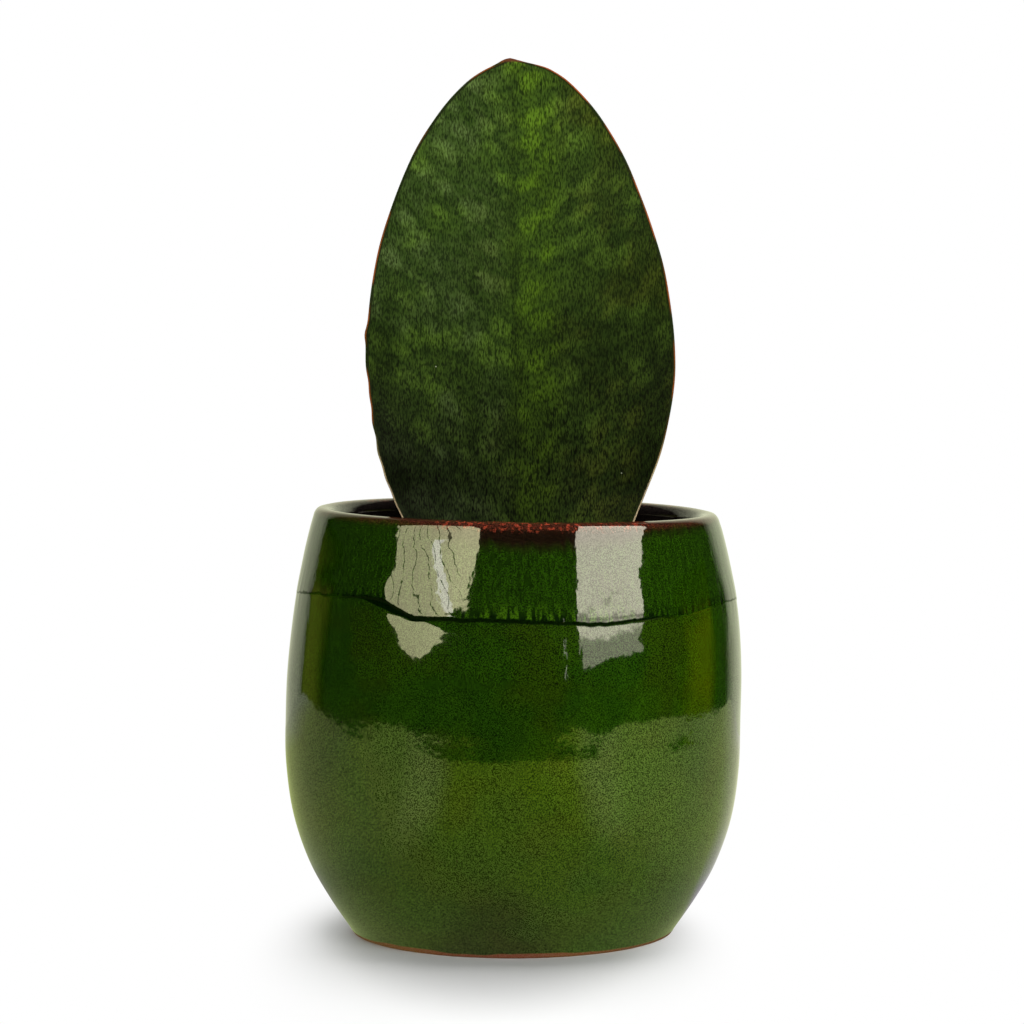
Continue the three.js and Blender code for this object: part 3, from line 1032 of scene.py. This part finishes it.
def make_soil_bed(material):
    """The bed from the hole that the leaf stands in out to the pot's wall, closed below."""
    turn = np.linspace(0, 2 * math.pi, SOIL_SIDES, endpoint=False)
    way = np.stack([np.cos(turn), np.sin(turn)], axis=-1)
    hole = np.array(HOLE_SIZE) * way + (LEAF_X, 0)
    hole[:, 1] += leaf_line(hole[:, 0])
    wall = spline(POT_SECTION[-WALL_POINTS:], 40)
    wall = wall[wall[:, 1] < SOIL_TOP - 4][::3]
    rings = [level_ring((radius - SOIL_GAP) * way, z + SOIL_GAP) for radius, z in wall[::-1]]
    for share in np.linspace(1, 0, SOIL_RINGS):
        flat = lerp(hole, SOIL_REACH * way, share)
        rings.append(np.column_stack([flat, soil_height(*flat.T, np.hypot(*flat.T) / SOIL_REACH)]))
    bottom = LEAF_BOTTOM - SOIL_GAP
    rings += [level_ring(hole * (0.999, 1), z) for z in (*HOLE_LEVELS, bottom)]
    rings = hand_thrown(np.array(rings))
    skin, faces = closed_skin(rings, (0, 0, FLOOR_THICKNESS + SOIL_GAP), (*hole.mean(axis=0), bottom))
    tone = 0.35 + 0.2 * swells(skin, 9, seed=41)
    bed = make_piece("soil_bed", skin, faces, material, {"tone": tone})
    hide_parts("soil")


def ball(detail):
    """Points and triangles of a round ball of radius 1."""
    made = bpy.data.meshes.new("ball")
    shape = bmesh.new()
    bmesh.ops.create_icosphere(shape, subdivisions=detail, radius=1)
    shape.to_mesh(made)
    shape.free()
    points = np.array([vertex.co for vertex in made.vertices])
    faces = np.array([face.vertices for face in made.polygons])
    bpy.data.meshes.remove(made)
    return points, faces


def strew(name, count, sizes, proportions, roughness, material, seed):
    """Lumps of the mix, lying at random on the bed clear of the leaf and of the wall."""
    random = np.random.default_rng(seed)
    points, faces = ball(2)
    all_points, all_faces, tones = [], [], []
    while len(all_points) < count:
        size = lerp(*sizes, random.random() ** 2)
        away = math.sqrt(random.random()) * (SOIL_REACH - WALL_CLEARANCE)
        turn = random.uniform(0, 2 * math.pi)
        x, y = away * math.cos(turn), away * math.sin(turn)
        if abs(x - LEAF_X) < LEAF_CLEARANCE[0] and abs(y - leaf_line(x)) < LEAF_CLEARANCE[1] + size:
            continue
        bumps = swells(points + 10 * random.random(3), BUMP_LENGTH, seed=len(all_points))
        lump = points * (1 + roughness * bumps)[:, None]
        lump = lump * size * np.array(proportions) * random.uniform(*LUMP_FACTORS, 3)
        spin, lean = random.uniform(0, 2 * math.pi), random.normal(0, LUMP_LEAN)
        lump = lump @ turned_about(0, lean) @ turned_about(2, spin)
        z = soil_height(np.array([x]), np.array([y]), np.array([away / SOIL_REACH]))[0]
        lump += (x, y, z + LUMP_RISE * size * proportions[2])
        all_faces.append(faces + len(points) * len(all_points))
        all_points.append(lump)
        tones.append(np.full(len(points), random.random()))
    skin = hand_thrown(np.vstack(all_points))
    make_piece(name, skin, np.vstack(all_faces).tolist(), material, {"tone": np.concatenate(tones)})


def turned_about(axis, angle):
    """The matrix that turns row vectors about an axis, 0 for X and 2 for Z."""
    c, s = math.cos(angle), math.sin(angle)
    flat = [[c, s], [-s, c]]
    made = np.eye(3)
    others = [i for i in range(3) if i != axis]
    made[np.ix_(others, others)] = flat
    return made


def make_soil():
    mix = soil_material()
    make_soil_bed(mix)
    strew("soil_crumbs", CRUMBS, (0.7, 2.6), (1, 0.9, 0.75), 0.35, mix, seed=7)
    strew("bark_chips", BARK_CHIPS, (1.6, 4.6), (1.3, 0.7, 0.28), 0.3, bark_material(), seed=8)
    strew("perlite", PERLITE_GRAINS, (0.6, 1.7), (1, 0.9, 0.8), 0.3, perlite_material(), seed=9)


def even_glow(paint):
    return 1.0


def side_fade(paint):
    """Stronger towards its right side."""
    x, _, _ = paint.spot()
    return paint.ease(x, SIDE_FROM, SIDE_TO, *SIDE_SHARES)


def broken_fade(paint):
    """Only here and there along its height."""
    return paint.ease(paint.noise((900, 900, 24), seed=6), 0.46, 0.52)


def low_fade(paint):
    """Weaker below a line that slopes down to the right."""
    x, _, z = paint.spot()
    return paint.ease(paint.math("MULTIPLY_ADD", x, LOW_SLOPE, z), LOW_FROM, LOW_TO, LOW_SHARE, 1.0)


def rim_fade(paint):
    """Nothing at the card's rim."""
    return paint.ease(paint.field("inward"), 0, 0.8)


def back_fade(paint):
    """Nothing at the left and the right border, which waver, and weaker high up and on the left."""
    x, _, z = paint.spot()
    centred = paint.math("SUBTRACT", x, BACK_WAVER / 2)
    wavering = paint.math("MULTIPLY_ADD", paint.noise((35, 35, 260), seed=3), BACK_WAVER, centred)
    left = paint.ease(wavering, BACK_LEFT, BACK_LEFT + BACK_BORDER)
    right = paint.ease(wavering, BACK_RIGHT, BACK_RIGHT - BACK_BORDER)
    low = paint.ease(z, BACK_WEAK_FROM, BACK_FULL_TO, BACK_HIGH_SHARE, 1.0)
    aside = paint.ease(x, -BACK_TURN, BACK_TURN, BACK_LEFT_SHARE, 1.0)
    return paint.times(left, right, paint.times(low, aside))


def light_material(name, light, fade):
    paint = Paint(name)
    return paint.finish(paint.node("Emission", {"Color": (*light, 1), "Strength": fade(paint)}).outputs[0])


def stage_card(name, points, light, lights=True, mirrored=True, fade=even_glow):
    """A glowing card that the camera doesn't see. It lights the plant, is mirrored in it, or both."""
    count = len(points)
    faces = [tuple(range(count))]
    if fade is rim_fade:
        faces = [(i, (i + 1) % count, count) for i in range(count)]
    points = np.vstack([points, np.mean(points, axis=0)])
    card = make_object(name, points, faces, light_material(name, light, fade))
    add_field(card.data, "inward", np.append(np.zeros(count), 1))
    card.visible_camera = False
    card.visible_shadow = False
    card.visible_diffuse = lights
    card.visible_glossy = mirrored


def round_card(name, corners, light, radius=CARD_RADIUS, fade=even_glow):
    """A card on the wide circle, which is only mirrored."""
    points = []
    for azimuth, z in corners:
        turn = math.radians(azimuth)
        points.append((radius * math.sin(turn), -radius * math.cos(turn), z))
    stage_card(name, points, light, lights=False, fade=fade)


def square_light(name, size, middle, lean, light, mirrored):
    """A square card that faces down at a lean of 0, and towards the back at a lean of 90 degrees."""
    half = size / 2
    turn = math.radians(lean)
    points = [
        (middle[0] + x, middle[1] + y * math.cos(turn), middle[2] + y * math.sin(turn))
        for x, y in ((-half, -half), (half, -half), (half, half), (-half, half))
    ]
    stage_card(name, points, (light,) * 3, mirrored=mirrored)


def board_ahead(paint, x, y, away):
    """The board ahead of the pot: paler to both sides, most of all in two columns, darker in painted shadow
    near by.
    """
    ahead = paint.math("MAXIMUM", paint.times(y, -1.0), 50.0)
    sector = paint.math("DIVIDE", paint.math("ABSOLUTE", x), ahead)
    aside = paint.ease(sector, 0.45, 0.8)
    colour = paint.mix(aside, BOARD_MIDDLE, BOARD_SIDES)
    column = paint.times(aside, paint.ease(sector, 1.35, 0.95), paint.ease(x, -60, 60, 1, 0.6))
    colour = paint.mix(column, colour, BOARD_COLUMNS)
    near = paint.mix(paint.ease(away, 34, 12), BOARD_NEAR, BOARD_NEAREST)
    colour = paint.mix(paint.ease(away, 160, 60), colour, near)
    return paint.scaled(colour, paint.ease(x, 60, 260, 1, BOARD_RIGHT_GAIN))


def board_behind(paint, x, y, away):
    """The board behind the pot, darker near by in the pot's painted shadow, and bluer far off."""
    colour = paint.mix(paint.ease(away, 200, 80), BOARD_BACK, BOARD_NEAR_BACK)
    colour = paint.mix(paint.ease(away, 125, 90), colour, BOARD_NEAREST_BACK)
    colour = paint.mix(paint.ease(y, 400, 700), colour, BOARD_FAR)
    return paint.scaled(colour, paint.ease(x, -60, 240, 1, BOARD_RIGHT_GAIN))


def right_gleam(paint, x, y):
    """A paler and bluer patch of the board, behind the pot on the right."""
    slant = paint.math("DIVIDE", paint.math("SUBTRACT", x, 85.0), paint.math("MAXIMUM", y, 10.0))
    share = paint.times(paint.ease(slant, 1.5, 0.4), paint.ease(x, 40, 100), paint.ease(y, 0, 30))
    return paint.scaled(BOARD_RIGHT_GLEAM, share)


def table_material():
    """White for the camera, with the plant's soft shadow on it, and a glowing board for all other rays."""
    paint = Paint("table")
    x, y, _ = paint.spot()
    aside = paint.math("SUBTRACT", x, SHADOW_MIDDLE[0])
    ahead = paint.math("DIVIDE", paint.math("SUBTRACT", y, SHADOW_MIDDLE[1]), SHADOW_STRETCH)
    away = paint.math("SQRT", paint.math("ADD", paint.times(aside, aside), paint.times(ahead, ahead)))
    (dark_to, dark), (pale_from, pale) = SHADOW_DARK, SHADOW_PALE
    white = paint.node("BsdfDiffuse", {"Color": paint.ease(away, dark_to, pale_from, dark, pale)}).outputs[0]
    bright = paint.node("Emission", {"Color": (1, 1, 1, 1)}).outputs[0]
    whiter = paint.ease(away, WHITE_FROM, WHITE_TO)
    shown = paint.node("MixShader", {0: whiter, 1: white, 2: bright}).outputs[0]

    ahead_of_pot, behind_pot = board_ahead(paint, x, y, away), board_behind(paint, x, y, away)
    board = paint.mix(paint.ease(y, -200, 120), ahead_of_pot, behind_pot)
    inputs = {0: board, 1: right_gleam(paint, x, y)}
    board = paint.node("VectorMath", inputs, operation="ADD").outputs[0]
    glow = paint.node("Emission", {"Color": board}).outputs[0]
    seen = paint.node("LightPath", {}).outputs["Is Camera Ray"]
    return paint.finish(paint.node("MixShader", {0: seen, 1: glow, 2: shown}).outputs[0])


def make_studio():
    corners = [(x, y, TABLE_Z) for x, y in TABLE_EDGE]
    table = make_object("table", corners, [tuple(range(len(corners)))], table_material())
    round_card("left_card", LEFT_CARD, LEFT_LIGHT, fade=side_fade)
    round_card("left_streak", LEFT_STREAK, STREAK_LIGHT, STREAK_RADIUS)
    round_card("right_card", RIGHT_CARD, RIGHT_LIGHT, fade=low_fade)
    round_card("slit_card", SLIT_CARD, SLIT_LIGHT, fade=broken_fade)
    round_card("right_ochre", RIGHT_OCHRE, RIGHT_OCHRE_LIGHT, fade=rim_fade)
    round_card("left_ochre", LEFT_OCHRE, LEFT_OCHRE_LIGHT, fade=rim_fade)
    back = [
        (BACK_LEFT, BACK_Y, BACK_FOOT),
        (BACK_RIGHT, BACK_Y, BACK_FOOT),
        (BACK_RIGHT, BACK_Y, BACK_HEIGHT),
        (BACK_LEFT, BACK_Y, BACK_HEIGHT),
    ]
    stage_card("back_card", back, BACK_LIGHT, fade=back_fade)
    square_light("overhead_light", OVERHEAD_SIZE, OVERHEAD_MIDDLE, 0, OVERHEAD_LIGHT, mirrored=False)
    square_light("front_light", FRONT_SIZE, FRONT_MIDDLE, FRONT_LEAN, FRONT_LIGHT, mirrored=False)


def make_world():
    """White for the camera, and a faint glow for all other rays."""
    world = bpy.data.worlds.new("studio")
    world.use_nodes = True
    tree = world.node_tree
    seen = tree.nodes.new("ShaderNodeLightPath").outputs["Is Camera Ray"]
    glow = tree.nodes.new("ShaderNodeMapRange")
    glow.inputs["To Min"].default_value = STUDIO_GLOW
    tree.links.new(seen, glow.inputs["Value"])
    tree.links.new(glow.outputs[0], tree.nodes["Background"].inputs["Strength"])
    tree.nodes["Background"].inputs["Color"].default_value = (1, 1, 1, 1)
    bpy.context.scene.world = world


def make_camera():
    data = bpy.data.cameras.new("camera")
    data.lens = FOCAL_LENGTH
    data.sensor_width = SENSOR_WIDTH
    camera = bpy.data.objects.new("camera", data)
    camera.location = (CAMERA_SIDE * MM, -CAMERA_DISTANCE * MM, CAMERA_HEIGHT * MM)
    camera.rotation_euler = (math.radians(90 - CAMERA_PITCH), 0, 0)
    bpy.context.scene.collection.objects.link(camera)
    bpy.context.scene.camera = camera
    bpy.context.scene.view_settings.view_transform = "Standard"


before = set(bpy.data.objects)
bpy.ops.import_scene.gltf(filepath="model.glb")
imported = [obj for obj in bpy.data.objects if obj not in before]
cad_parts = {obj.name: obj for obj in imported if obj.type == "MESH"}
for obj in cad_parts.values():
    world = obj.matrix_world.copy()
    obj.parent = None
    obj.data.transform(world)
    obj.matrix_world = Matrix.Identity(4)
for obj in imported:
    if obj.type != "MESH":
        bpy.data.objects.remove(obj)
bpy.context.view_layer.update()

make_camera()
make_studio()
make_world()
make_pot()
make_soil()
make_leaf()
